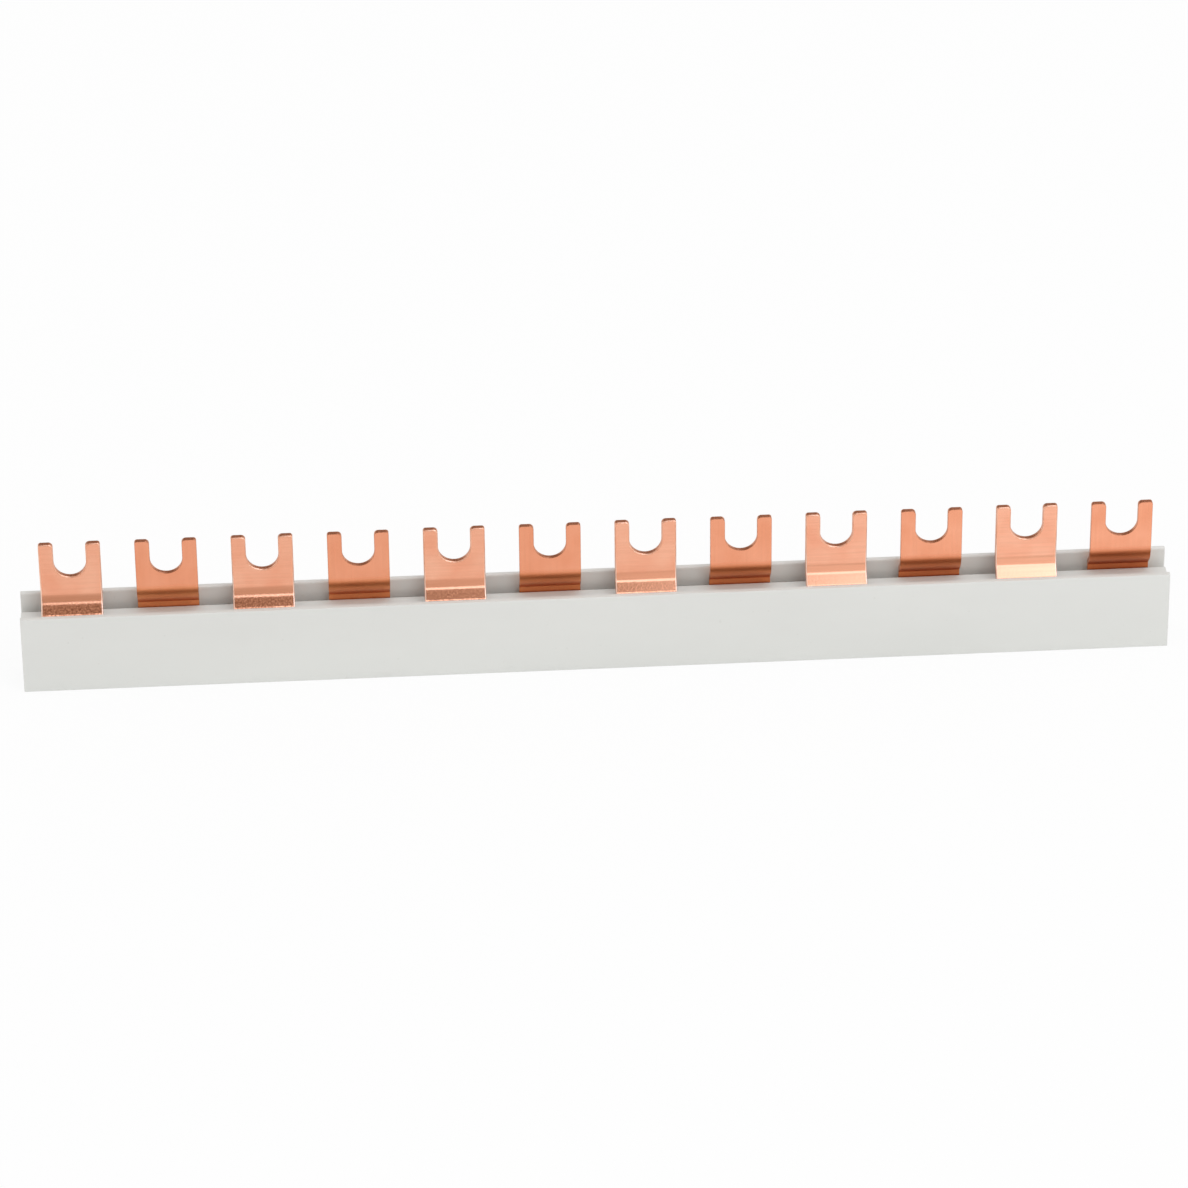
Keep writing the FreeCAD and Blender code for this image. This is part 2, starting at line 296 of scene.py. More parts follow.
# %% [markdown]
# The blank starts as the spine. It is cut where the sides of the forks will be, and the six pieces
# of its top that lie between are pulled up together.

# %% Cut the spine and pull up the forks
half_fork = FORK_WIDTH / 2
spine_end = (FORKS_PER_COMB - 0.5) * PITCH + half_fork + SPINE_OVERHANG
OUTSIDE = SPINE_PLANE - COPPER / 2
INSIDE = SPINE_PLANE + COPPER / 2

comb = add_box("front_copper_comb", (ROW_CENTRE - spine_end, OUTSIDE, FLOOR_TOP),
               (ROW_CENTRE + spine_end, INSIDE, SPINE_TOP))
bpy.ops.object.mode_set(mode="EDIT")
for centre in fork_centres:
    cut_across(X, (centre - half_fork, centre + half_fork))


def in_a_fork(x):
    return any(abs(x - centre) < half_fork for centre in fork_centres)


roots = pick("faces", lambda face: face.normal.z > FACING and in_a_fork(middle(face).x))
bpy.ops.mesh.extrude_region_move(TRANSFORM_OT_translate={"value": (0, 0, flat_tip - SPINE_TOP)})
print("pulled up", roots, "forks")
bpy.ops.object.mode_set(mode="OBJECT")

# %% [markdown]
# The punch for a mouth is a slot with a round bottom: half a circle, its two ends pulled straight
# up, the outline filled and given a depth. It is made once, copied along the comb, and a Boolean
# takes it out of the blank.

# %% Make the punch for the mouths
MOUTH_WIDTH = 6.0 * MM
MOUTH_DEPTH = 7.05 * MM
PUNCH_OVER = 2 * MM
PUNCH_CORNERS = 56

mouth_centre = flat_tip - MOUTH_DEPTH + MOUTH_WIDTH / 2
punch_centre = Vector((fork_centres[0], OUTSIDE - PUNCH_OVER, mouth_centre))
bpy.ops.object.select_all(action="DESELECT")
bpy.ops.mesh.primitive_circle_add(vertices=PUNCH_CORNERS, radius=MOUTH_WIDTH / 2, fill_type="NOTHING",
                                  location=punch_centre, rotation=(math.radians(90), 0, 0))
bpy.ops.object.transform_apply(location=True, rotation=True, scale=True)
punch = bpy.context.object
bpy.ops.object.mode_set(mode="EDIT")
pick("verts", lambda vert: vert.co.z > punch_centre.z + TINY)
bpy.ops.mesh.delete(type="VERT")
pick("verts", lambda vert: vert.co.z > punch_centre.z - TINY)
bpy.ops.mesh.extrude_region_move(TRANSFORM_OT_translate={"value": (0, 0, MOUTH_DEPTH)})
bpy.ops.mesh.select_all(action="SELECT")
bpy.ops.mesh.edge_face_add()
bpy.ops.mesh.extrude_region_move(TRANSFORM_OT_translate={"value": (0, COPPER + 2 * PUNCH_OVER, 0)})
bpy.ops.mesh.select_all(action="SELECT")
bpy.ops.mesh.normals_make_consistent(inside=False)
for _ in range(FORKS_PER_COMB - 1):
    bpy.ops.mesh.duplicate_move(TRANSFORM_OT_translate={"value": (fork_step, 0, 0)})
bpy.ops.object.mode_set(mode="OBJECT")
print("punches:", len(punch.data.polygons), "faces")

# %% Punch the mouths out of the blank
select_alone(comb)
cut = comb.modifiers.new("mouths", "BOOLEAN")
cut.operation = "DIFFERENCE"
cut.solver = "EXACT"
cut.object = punch
bpy.ops.object.modifier_apply(modifier=cut.name)
bpy.data.objects.remove(punch)
bpy.ops.object.mode_set(mode="EDIT")
print("blank has", len(bmesh.from_edit_mesh(comb.data).faces), "faces")

# %% [markdown]
# The corners of the prongs are rounded, a little more towards the mouth, and so are the corners
# where a fork grows out of the spine: a sharp inner corner would tear. These are edges that run
# through the sheet, along Y.

# %% Round the corners of the blank
OUTER_CORNER = 0.5 * MM
INNER_CORNER = 0.8 * MM
ROOT_CORNER = 1.0 * MM


def from_fork_middle(x):
    return min(abs(x - centre) for centre in fork_centres)


def round_corners(height, from_middle, radius, segments):
    count = pick("edges", lambda edge: along(edge, Y) and same(middle(edge).z, height)
                 and same(from_fork_middle(middle(edge).x), from_middle))
    bpy.ops.mesh.bevel(offset=radius, segments=segments, affect="EDGES", clamp_overlap=False)
    print("rounded", count, "corners to", round(radius / MM, 2), "mm")


round_corners(flat_tip, half_fork, OUTER_CORNER, segments=5)
round_corners(flat_tip, MOUTH_WIDTH / 2, INNER_CORNER, segments=6)
round_corners(SPINE_TOP, half_fork, ROOT_CORNER, segments=6)

# %% [markdown]
# The surface of the comb isn't the same everywhere, and each kind gets a material of its own later.
# The faces are told apart now, while the blank is flat, and the slots wait for their materials:
# the skin as it was rolled, the cut faces, the burnished rim, and the side that the upper bend
# will stretch.

# %% Tell the kinds of surface apart
ROLLED, CUT, BURNISHED, STRETCHED = range(4)

for _ in (ROLLED, CUT, BURNISHED, STRETCHED):
    comb.data.materials.append(None)


def mark_faces(test, slot):
    """Gives the faces that the test accepts to a material slot."""
    count = pick("faces", test)
    bpy.context.object.active_material_index = slot
    bpy.ops.object.material_slot_assign()
    print("slot", slot, "gets", count, "faces")


mark_faces(lambda face: face.normal.y < -FACING, ROLLED)
mark_faces(lambda face: abs(face.normal.y) < FACING, CUT)
mark_faces(lambda face: face.normal.y > FACING, STRETCHED)

# %% [markdown]
# A punched sheet tells which way the punch went. The side where it went in is drawn down into a
# soft round edge, burnished by the tool, and the side where it came out stays sharp, with a trace
# of a burr. The round side of this comb is the outside. Its rim edges are those that only one
# outside face touches.

# %% Round the rim that the punch drew in
DRAWN_EDGE = 0.25 * MM
BURR_EDGE = 0.07 * MM


def round_rim(side_y, facing_y, radius, segments, slot):
    def on_rim(edge):
        faces = [face for face in edge.link_faces if face.normal.y * facing_y > FACING]
        return len(faces) == 1 and all(same(vert.co.y, side_y) for vert in edge.verts)
    count = pick("edges", on_rim)
    bpy.ops.mesh.bevel(offset=radius, segments=segments, affect="EDGES", clamp_overlap=False,
                       material=slot)
    print("rounded", count, "rim edges to", round(radius / MM, 2), "mm")


round_rim(OUTSIDE, -1, DRAWN_EDGE, segments=4, slot=BURNISHED)
round_rim(INSIDE, 1, BURR_EDGE, segments=2, slot=CUT)

# %% [markdown]
# Now the press brake. The blank is cut across at every planned row, and each row turns all that
# lies above it. Its own vertices turn half as far as the rest, which keeps the sheet equally
# thick. The flat heights are noted first, because a vertex can't be found by its height any more
# once it has moved.

# %% Cut the rows, then bend the forks
cut_across(Z, [place for place, _ in rows])
bpy.ops.object.mode_set(mode="OBJECT")
flat_height = [vert.co.z for vert in comb.data.vertices]
bpy.ops.object.mode_set(mode="EDIT")


def turn_above(height, pivot, angle):
    """Turns what was above a height on the flat blank about the X axis through a pivot, backwards."""
    pick("verts", lambda vert: flat_height[vert.index] > height)
    bpy.ops.transform.rotate(value=angle, orient_axis="X", orient_type="GLOBAL",
                             center_override=(0, pivot[0], pivot[1]))


for (place, turn), pivot in zip(rows, pivots):
    turn_above(place - TINY, pivot, turn / 2)
    turn_above(place + TINY, pivot, turn / 2)
comb = finish_edit(sharp_angle=35)
top_of_comb = max(vert.co.z for vert in comb.data.vertices)
print("the tips stand at", round(top_of_comb / MM, 3), "mm")

# %% [markdown]
# The second comb is the same stamping, turned half round about the middle of the row. Its forks
# then stand in the gaps of the first, and its crank leans the other way. A linked copy could be
# turned as a whole, but turned in edit mode it keeps the frame of the busbar, so the marks on it
# don't repeat those of the first.

# %% Copy the comb and turn it round
select_alone(comb)
bpy.ops.object.duplicate()
rear_comb = bpy.context.object
rear_comb.name = "rear_copper_comb"
bpy.ops.object.mode_set(mode="EDIT")
bpy.ops.mesh.select_all(action="SELECT")
bpy.ops.transform.rotate(value=math.pi, orient_axis="Z", orient_type="GLOBAL",
                         center_override=(ROW_CENTRE, 0, 0))
bpy.ops.object.mode_set(mode="OBJECT")
print("rear comb from y =", round(min(v.co.y for v in rear_comb.data.vertices) / MM, 3))

# %% [markdown]
# ## Materials
#
# Every material reads Object coordinates, in metres, so the size of each pattern can be given as
# on the real surface. Marks could also be painted on an unwrapped mesh, but a noise that is
# stretched along an axis needs no unwrapping and runs on unbroken round every edge.
#
# One helper adds a node with its settings and links, and one turns a hex colour, as a colour picker
# gives it, into the linear values that the shader works in. The rest make what several surfaces
# here need: the place on the piece, a noise of a given size, and a colour that follows the noise.


# %% Helpers for materials
# A noise goes from 0 to 1, but seldom leaves this part of the way.
USUAL_NOISE = {"From Min": 0.3, "From Max": 0.7}


def add_node(tree, kind, inputs=(), **settings):
    """Adds a node, gives it its settings, and sets or links its inputs."""
    node = tree.nodes.new(kind)
    for name, value in settings.items():
        setattr(node, name, value)
    for name, value in dict(inputs).items():
        if isinstance(value, bpy.types.NodeSocket):
            tree.links.new(value, node.inputs[name])
        else:
            node.inputs[name].default_value = value
    return node


def linear(hex_colour):
    """An sRGB hex colour as a linear colour with full alpha."""
    parts = [int(hex_colour[i:i + 2], 16) / 255 for i in (1, 3, 5)]
    return [c / 12.92 if c <= 0.04045 else ((c + 0.055) / 1.055) ** 2.4 for c in parts] + [1.0]


def new_material(name):
    material = bpy.data.materials.new(name)
    material.use_nodes = True
    material.node_tree.nodes.clear()
    return material, material.node_tree


def place_on_piece(tree):
    """The X, Y and Z of a point of the piece, in metres."""
    place = add_node(tree, "ShaderNodeTexCoord").outputs["Object"]
    return add_node(tree, "ShaderNodeSeparateXYZ", {"Vector": place}).outputs


def pattern(tree, size, stretch=(1, 1, 1), detail=2.0, roughness=0.5):
    """A noise whose features are about `size` metres, stretched along the axes."""
    place = add_node(tree, "ShaderNodeTexCoord").outputs["Object"]
    scale = [1 / (size * s) for s in stretch]
    spread = add_node(tree, "ShaderNodeMapping", {"Vector": place, "Scale": scale})
    noise = add_node(tree, "ShaderNodeTexNoise", {
        "Vector": spread.outputs["Vector"], "Scale": 1.0, "Detail": detail, "Roughness": roughness})
    return noise.outputs["Fac"]


def two_tones(tree, noise, first, second):
    """A colour that goes from one shade to another while the noise goes through its usual range."""
    share = add_node(tree, "ShaderNodeMapRange", {"Value": noise, **USUAL_NOISE})
    return add_node(tree, "ShaderNodeMix", {
        "Factor": share.outputs["Result"], "A": linear(first), "B": linear(second)},
        data_type="RGBA").outputs["Result"]


# %% [markdown]
# ### Rolled copper
#
# Busbar strip is rolled bright and left bare. A metal shows only reflections, so its colour is that
# of its highlights. The rolls leave a satin skin, and handling leaves faint clouds that are a
# little redder. Fine lines run along the comb on its outside. On the other side they run up the
# forks, drawn there by the bending die, which also left the crank duller. On that side the crank
# is also painted darker, from a little above the bend and most of all at the right end: painted
# shade for the dark inside of the housing that it mirrors. One function describes both sides,
# because they differ only in such marks.
#
# Where the strip was pulled round the bend, its skin is grainy. Rubbing has worn the grain off
# towards the right, so only the first forks sparkle. The real lines and the real grain are finer:
# both are drawn a third of a millimetre wide, as coarse as they have to be to show.

# %% Sizes and places of the marks
CRANK_TOP = UPPER_BEND_END
CRANK_FADE = 2 * MM
# On the stretched side the duller, painted-dark crank starts this far above the bend; its darker
# shade is painted shade.
DULL_AND_SHADE_ABOVE_BEND = 0.8 * MM
GRAIN_TOP = CRANK_TOP - 1.5 * MM
GRAIN_FULL = CRANK_TOP - 3.1 * MM
CRANK_LEFT = -80 * MM
CRANK_RIGHT = 98 * MM
WORN_FROM = -70 * MM
WORN_TO = 40 * MM
WORN_GRAIN = 0.05
PLATE_GRAIN = 0.1
CRANK_GRAIN = 0.33 * MM
ROLL_LINES = 0.35 * MM
LINE_DEPTH = 0.3
GRAIN_DEPTH = 0.018 * MM
CLOUDS = 7 * MM
SATIN_ROUGHNESS = {"To Min": 0.2, "To Max": 0.27}
DARK_COPPER = "#a0603e"
print("grain from", round(GRAIN_TOP / MM, 2), "mm down to", round(GRAIN_FULL / MM, 2), "mm")


# %% Find the grainy zone of the crank
def grainy_zone(tree, place):
    """Up to 1 where the strip was pulled round the bend and isn't worn yet, 0 on the plate."""
    pulled = add_node(tree, "ShaderNodeMapRange", {
        "Value": place["Z"], "From Min": GRAIN_TOP, "From Max": GRAIN_FULL},
        interpolation_type="SMOOTHSTEP")
    unworn = add_node(tree, "ShaderNodeMapRange", {
        "Value": place["X"], "From Min": WORN_FROM, "From Max": WORN_TO,
        "To Min": 1.0, "To Max": WORN_GRAIN})
    return add_node(tree, "ShaderNodeMath", {
        0: pulled.outputs["Result"], 1: unworn.outputs["Result"]}, operation="MULTIPLY").outputs[0]


# %% Describe the rolled copper
def rolled_copper(name, plate, crank, roll_lines, grain_share):
    """Copper strip, as a material.

    `plate` is its two shades, `crank` where the crank starts, its shades at the left and the right
    and its roughness, `roll_lines` how far the lines are stretched and how dark they are, and
    `grain_share` how dark the grain is.
    """
    material, tree = new_material(name)
    crank_top, crank_left, crank_right, crank_roughness = crank
    line_stretch, line_share = roll_lines
    clouds = pattern(tree, CLOUDS, detail=4)
    grain = pattern(tree, CRANK_GRAIN, detail=1, roughness=0.3)
    lines = pattern(tree, ROLL_LINES, stretch=line_stretch, detail=3)
    place = place_on_piece(tree)
    grainy = grainy_zone(tree, place)
    bent = add_node(tree, "ShaderNodeMapRange", {
        "Value": place["Z"], "From Min": crank_top, "From Max": crank_top - CRANK_FADE},
        interpolation_type="SMOOTHSTEP").outputs["Result"]

    # The colour: the skin, then the dark marks of the grain and of the lines on it.
    # Along the comb the crank goes from one shade to another; on the stretched side this is painted
    # shade, darkest at the right.
    along_comb = add_node(tree, "ShaderNodeMapRange", {
        "Value": place["X"], "From Min": CRANK_LEFT, "From Max": CRANK_RIGHT})
    crank_tone = add_node(tree, "ShaderNodeMix", {
        "Factor": along_comb.outputs["Result"], "A": linear(crank_left), "B": linear(crank_right)},
        data_type="RGBA")
    skin = add_node(tree, "ShaderNodeMix", {
        "Factor": bent, "A": two_tones(tree, clouds, *plate), "B": crank_tone.outputs["Result"]},
        data_type="RGBA")
    dark_grain = add_node(tree, "ShaderNodeMapRange", {
        "Value": grain, **USUAL_NOISE, "To Max": grain_share})
    grain_marks = add_node(tree, "ShaderNodeMath", {
        0: dark_grain.outputs["Result"], 1: grainy}, operation="MULTIPLY")
    dark_lines = add_node(tree, "ShaderNodeMapRange", {
        "Value": lines, **USUAL_NOISE, "To Max": line_share})
    marks = add_node(tree, "ShaderNodeMath", {
        0: dark_lines.outputs["Result"], 1: grain_marks.outputs[0]}, operation="ADD")
    colour = add_node(tree, "ShaderNodeMix", {
        "Factor": marks.outputs[0], "A": skin.outputs["Result"], "B": linear(DARK_COPPER)},
        data_type="RGBA")

    # The surface: shallow lines everywhere, and the grain where the strip was pulled.
    grain_height = add_node(tree, "ShaderNodeMapRange", {"Value": grainy, "To Min": PLATE_GRAIN})
    raised_grain = add_node(tree, "ShaderNodeMath", {
        0: grain, 1: grain_height.outputs["Result"]}, operation="MULTIPLY")
    surface = add_node(tree, "ShaderNodeMath", {
        0: lines, 1: LINE_DEPTH, 2: raised_grain.outputs[0]}, operation="MULTIPLY_ADD")
    bump = add_node(tree, "ShaderNodeBump", {
        "Height": surface.outputs[0], "Strength": 1.0, "Distance": GRAIN_DEPTH})
    satin = add_node(tree, "ShaderNodeMapRange", {
        "Value": clouds, **USUAL_NOISE, **SATIN_ROUGHNESS})
    roughness = add_node(tree, "ShaderNodeMix", {
        "Factor": bent, "A": satin.outputs["Result"], "B": crank_roughness})
    shader = add_node(tree, "ShaderNodeBsdfPrincipled", {
        "Base Color": colour.outputs["Result"], "Metallic": 1.0, "Normal": bump.outputs["Normal"],
        "Roughness": roughness.outputs["Result"]})
    add_node(tree, "ShaderNodeOutputMaterial", {"Surface": shader.outputs["BSDF"]})
    return material


# %% Make the copper of the two sides
copper = rolled_copper("rolled_copper", plate=("#fac1a0", "#f4af8c"),
                       crank=(CRANK_TOP, "#f6b591", "#f6b591", 0.15),
                       roll_lines=((40, 1, 1), 0.09), grain_share=0.75)
# The stretched side's crank shades, darker to the right, are painted shade for the dark housing it
# mirrors.
stretched = rolled_copper("stretched_copper", plate=("#f5af8a", "#eea27b"),
                          crank=(CRANK_TOP + DULL_AND_SHADE_ABOVE_BEND, "#ea9662", "#cf784b", 0.36),
                          roll_lines=((1, 1, 25), 0.07), grain_share=0.1)
print("made", copper.name, "and", stretched.name)

# %% [markdown]
# ### Burnished copper
#
# The round rim slid along the punch and came out burnished. It is paler than the skin beside it,
# partly for the burnish and partly as a painted highlight of the light that a round edge catches.
# It is only a third of a millimetre wide, but it draws a pale line round every fork, painted palest
# on the crank, a painted highlight there. A mask could follow the edges, but the bevel has made
# faces of its own there, so a material of its own is simpler.

# %% Make the burnished copper
RUBS = 0.4 * MM
MOUTH_FLOOR = TIP - MOUTH_DEPTH
BURNISHED_ROUGHNESS = {"To Min": 0.36, "To Max": 0.46}


def burnished_copper_and_highlight():
    material, tree = new_material("burnished_copper_and_highlight")
    rubs = pattern(tree, RUBS, stretch=(1, 1, 6), detail=2)
    # Paler towards the crank: a painted highlight.
    painted_crank_highlight = add_node(tree, "ShaderNodeMapRange", {
        "Value": place_on_piece(tree)["Z"], "From Min": MOUTH_FLOOR, "From Max": CRANK_TOP},
        interpolation_type="SMOOTHSTEP")
    colour = add_node(tree, "ShaderNodeMix", {
        "Factor": painted_crank_highlight.outputs["Result"], "A": two_tones(tree, rubs, "#f6c6a9", "#ebaa86"),
        "B": linear("#ffdcc6")}, data_type="RGBA")
    roughness = add_node(tree, "ShaderNodeMapRange", {
        "Value": rubs, **USUAL_NOISE, **BURNISHED_ROUGHNESS})
    shader = add_node(tree, "ShaderNodeBsdfPrincipled", {
        "Base Color": colour.outputs["Result"], "Metallic": 1.0,
        "Roughness": roughness.outputs["Result"]})
    add_node(tree, "ShaderNodeOutputMaterial", {"Surface": shader.outputs["BSDF"]})
    return material


burnished_and_highlight = burnished_copper_and_highlight()
print("made", burnished_and_highlight.name)

# %% [markdown]
# ### Sheared copper
#
# The punch smears the upper part of a cut edge bright and tears the rest, which leaves it matt,
# darker and streaked through the thickness. The streaks here run along Y and are drawn about a
# quarter of a millimetre apart, coarser than the real ones, which would be too fine to show.

# %% Make the sheared copper
SHEAR_STREAKS = 0.25 * MM
STREAK_DEPTH = 0.03 * MM
SHEARED_ROUGHNESS = {"To Min": 0.32, "To Max": 0.45}


def sheared_copper():
    material, tree = new_material("sheared_copper")
    streaks = pattern(tree, SHEAR_STREAKS, stretch=(1, 8, 1), detail=3)
    bump = add_node(tree, "ShaderNodeBump", {
        "Height": streaks, "Strength": 0.5, "Distance": STREAK_DEPTH})
    roughness = add_node(tree, "ShaderNodeMapRange", {
        "Value": streaks, **USUAL_NOISE, **SHEARED_ROUGHNESS})
    shader = add_node(tree, "ShaderNodeBsdfPrincipled", {
        "Base Color": two_tones(tree, streaks, "#dd9b78", "#b87553"), "Metallic": 1.0,
        "Normal": bump.outputs["Normal"], "Roughness": roughness.outputs["Result"]})
    add_node(tree, "ShaderNodeOutputMaterial", {"Surface": shader.outputs["BSDF"]})
    return material


sheared = sheared_copper()
print("made", sheared.name)

# %% [markdown]
# ### Rigid PVC
#
# The channel is light grey PVC, satin from the die. The die draws very faint lines along it, and
# the compound holds a few darker specks. It is an even, opaque colour, so what the eye gets is a
# soft sheen and clean edges. One flat colour would look drawn, so two close greys drift into each
# other.

# %% Make the extruded plastic
PVC_IOR = 1.53
TONE_CLOUDS = 14 * MM
DIE_LINES = 0.5 * MM
RIPPLES = 1.2 * MM
RIPPLE_DEPTH = 0.01 * MM
SPECKS = 0.9 * MM
SPECK_NOISE = {"From Min": 0.72, "From Max": 0.8}
SPECK_SHARE = 0.12
PVC_ROUGHNESS = {"To Min": 0.42, "To Max": 0.5}


def extruded_pvc():
    material, tree = new_material("extruded_pvc")
    tone = pattern(tree, TONE_CLOUDS, stretch=(3, 1, 1), detail=3)
    specks = add_node(tree, "ShaderNodeMapRange", {
        "Value": pattern(tree, SPECKS, detail=1), **SPECK_NOISE, "To Max": SPECK_SHARE})
    colour = add_node(tree, "ShaderNodeMix", {
        "Factor": specks.outputs["Result"], "A": two_tones(tree, tone, "#dddeda", "#d9dad6"),
        "B": linear("#a9a89f")}, data_type="RGBA")
    surface = add_node(tree, "ShaderNodeMath", {
        0: pattern(tree, DIE_LINES, stretch=(120, 1, 1), detail=2),
        1: pattern(tree, RIPPLES, detail=2)}, operation="ADD")
    bump = add_node(tree, "ShaderNodeBump", {
        "Height": surface.outputs[0], "Strength": 0.25, "Distance": RIPPLE_DEPTH})
    roughness = add_node(tree, "ShaderNodeMapRange", {
        "Value": tone, **USUAL_NOISE, **PVC_ROUGHNESS})
    shader = add_node(tree, "ShaderNodeBsdfPrincipled", {
        "Base Color": colour.outputs["Result"], "Roughness": roughness.outputs["Result"],
        "IOR": PVC_IOR, "Normal": bump.outputs["Normal"]})
    add_node(tree, "ShaderNodeOutputMaterial", {"Surface": shader.outputs["BSDF"]})
    return material


pvc = extruded_pvc()
print("made", pvc.name)

# %% [markdown]
# ### Sawn PVC
#
# The ends are cut with a circular saw. Its teeth leave close, shallow marks across the section and
# a matt, slightly paler surface. Modelled grooves this fine would cost many faces, and a stretched
# noise shows the same.

# %% Make the sawn plastic
SAW_MARKS = 0.35 * MM
SAW_DEPTH = 0.03 * MM


def sawn_pvc():
    material, tree = new_material("sawn_pvc")
    marks = pattern(tree, SAW_MARKS, stretch=(1, 14, 1), detail=3)
    bump = add_node(tree, "ShaderNodeBump", {
        "Height": marks, "Strength": 0.4, "Distance": SAW_DEPTH})
    shader = add_node(tree, "ShaderNodeBsdfPrincipled", {
        "Base Color": two_tones(tree, marks, "#e2e2dd", "#d2d2cc"), "Roughness": 0.7,
        "IOR": PVC_IOR, "Normal": bump.outputs["Normal"]})
    add_node(tree, "ShaderNodeOutputMaterial", {"Surface": shader.outputs["BSDF"]})
    return material


sawn = sawn_pvc()
print("made", sawn.name)

# %% [markdown]
# The slots of the combs now get their materials. The channel needs a second one for its sawn ends,
# the faces that face along X.

# %% Fill the material slots
SAWN = 1
comb_slots = {ROLLED: copper, CUT: sheared, BURNISHED: burnished_and_highlight, STRETCHED: stretched}

for one_comb in (comb, rear_comb):
    for slot, material in comb_slots.items():
        one_comb.data.materials[slot] = material

select_alone(housing)
housing.data.materials.append(pvc)
housing.data.materials.append(sawn)
bpy.ops.object.mode_set(mode="EDIT")
mark_faces(lambda face: abs(face.normal.x) > FACING, SAWN)
bpy.ops.object.mode_set(mode="OBJECT")

# %% Give each piece its place in the model
places = ((housing, pvc, "housing"), (comb, copper, "front_comb"), (rear_comb, copper, "rear_comb"))
for piece, skin, node in places:
    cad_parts[node].data.materials.clear()
    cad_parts[node].data.materials.append(skin)
    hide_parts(node)
    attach(piece, "root")
    print(piece.name, "stands for", node)

# %% [markdown]
# ## The studio
#
# The busbar stands on white paper in front of nothing but white. The sizes of the room are in
# metres. Surfaces are lit by its real light. What the camera and the copper see directly, glows at
# a strength of 1, which is white without any more light on the object. A white world alone would
# do that, but the busbar would float. The paper keeps a tenth of its real shading, so that a soft
# shadow stays under the housing.

# %% Lay the floor
PAPER_GLOW = 0.9
PAPER_SIZE = 8


def seen_directly(tree):
    """1 for what the camera, a reflection or a clear body sees, 0 for light on a surface."""
    rays = add_node(tree, "ShaderNodeLightPath")
    seen = add_node(tree, "ShaderNodeMath", {
        0: rays.outputs["Is Camera Ray"], 1: rays.outputs["Is Glossy Ray"]}, operation="MAXIMUM")
    return add_node(tree, "ShaderNodeMath", {
        0: seen.outputs[0], 1: rays.outputs["Is Transmission Ray"]}, operation="MAXIMUM").outputs[0]


floor_material, tree = new_material("white_paper")
paper = add_node(tree, "ShaderNodeBsdfDiffuse", {"Color": linear("#f2f2f2")})
glow = add_node(tree, "ShaderNodeEmission", {"Color": linear("#ffffff"), "Strength": 1.0})
share = add_node(tree, "ShaderNodeMath", {
    0: seen_directly(tree), 1: PAPER_GLOW}, operation="MULTIPLY")
floor_mix = add_node(tree, "ShaderNodeMixShader", {
    0: share.outputs[0], 1: paper.outputs["BSDF"], 2: glow.outputs["Emission"]})
add_node(tree, "ShaderNodeOutputMaterial", {"Surface": floor_mix.outputs["Shader"]})
bpy.ops.object.select_all(action="DESELECT")
bpy.ops.mesh.primitive_plane_add(size=PAPER_SIZE, location=(0, 0, 0))
floor = bpy.context.object
floor.name = "floor"
floor.data.materials.append(floor_material)
print("floor laid")

# %% Fill the room with soft light
SOFT_LIGHT = 0.86

world = bpy.data.worlds.new("studio")
bpy.context.scene.world = world
world.use_nodes = True
tree = world.node_tree
tree.nodes.clear()
lit = add_node(tree, "ShaderNodeBackground", {"Color": linear("#ffffff"), "Strength": SOFT_LIGHT})
white = add_node(tree, "ShaderNodeBackground", {"Color": linear("#ffffff"), "Strength": 1.0})
world_mix = add_node(tree, "ShaderNodeMixShader", {
    0: seen_directly(tree), 1: lit.outputs["Background"], 2: white.outputs["Background"]})
add_node(tree, "ShaderNodeOutputWorld", {"Surface": world_mix.outputs["Shader"]})
print("world lit at", SOFT_LIGHT)

# %% [markdown]
# Copper in an all-white room looks flat, like paint. A photographer hangs cards round it: grey ones
# make the dark parts of a bend, and bright ones make the shine. The picture of a real room could do
# it too, but cards can be moved one at a time. Only reflections see them. Two
# cloths lie in front of the busbar, where the plates mirror them. The cards beyond the camera and
# overhead are what the cranks mirror, and one card stands behind.
#
# The room has a window on its right. Each card glows more towards it, and its light goes from the
# warm grey of the room to the blue of the day.

# %% Helper for the cards
WARM_GREY = "#ffe8da"
DAYLIGHT = "#e2ecff"
GREY_GLOW = 0.3
DAY_GLOW = 2.0


def hang_card(name, low, high, glow, fade):
    """Adds a flat card between two corners. Its glow goes between two strengths, left to right."""
    card = add_box(name, low, high)
    material, tree = new_material(name)
    strength = add_node(tree, "ShaderNodeMapRange", {
        "Value": place_on_piece(tree)["X"], "From Min": fade[0], "From Max": fade[1],
        "To Min": glow[0], "To Max": glow[1]}, interpolation_type="SMOOTHSTEP").outputs["Result"]
    tint = add_node(tree, "ShaderNodeMapRange", {
        "Value": strength, "From Min": GREY_GLOW, "From Max": DAY_GLOW})
    colour = add_node(tree, "ShaderNodeMix", {
        "Factor": tint.outputs["Result"], "A": linear(WARM_GREY), "B": linear(DAYLIGHT)},
        data_type="RGBA")
    light = add_node(tree, "ShaderNodeEmission", {
        "Color": colour.outputs["Result"], "Strength": strength})
    add_node(tree, "ShaderNodeOutputMaterial", {"Surface": light.outputs["Emission"]})
    card.data.materials.append(material)
    card.visible_camera = False
    card.visible_diffuse = False
    card.visible_shadow = False


# %% Hang the cards
CARD_DISTANCE = 1.6
FRONT, BACK = -CARD_DISTANCE, CARD_DISTANCE
CEILING = 2.4
STRIP_LOW = 1.2
STRIP_HIGH = 1.84
BACK_CARD_LOW = 0.3
THIN = 2 * MM
CARD_HALF = 2.5
CLOTH_HALF = 1.5
CLOTH_LOW = 0.5 * MM
CLOTH_HIGH = 1 * MM
CLOTH_JOIN = -100 * MM
CLOTH_END = -12 * MM
CARD_FADE = (-0.17, 0.34)
NEAR_FADE = (-0.05, 0.14)
STRIP_FADE = (-0.17, -0.08)
OVERHEAD_FADE = (0.1, 0.5)
OVERHEAD_GLOW = (0.46, 2.8)

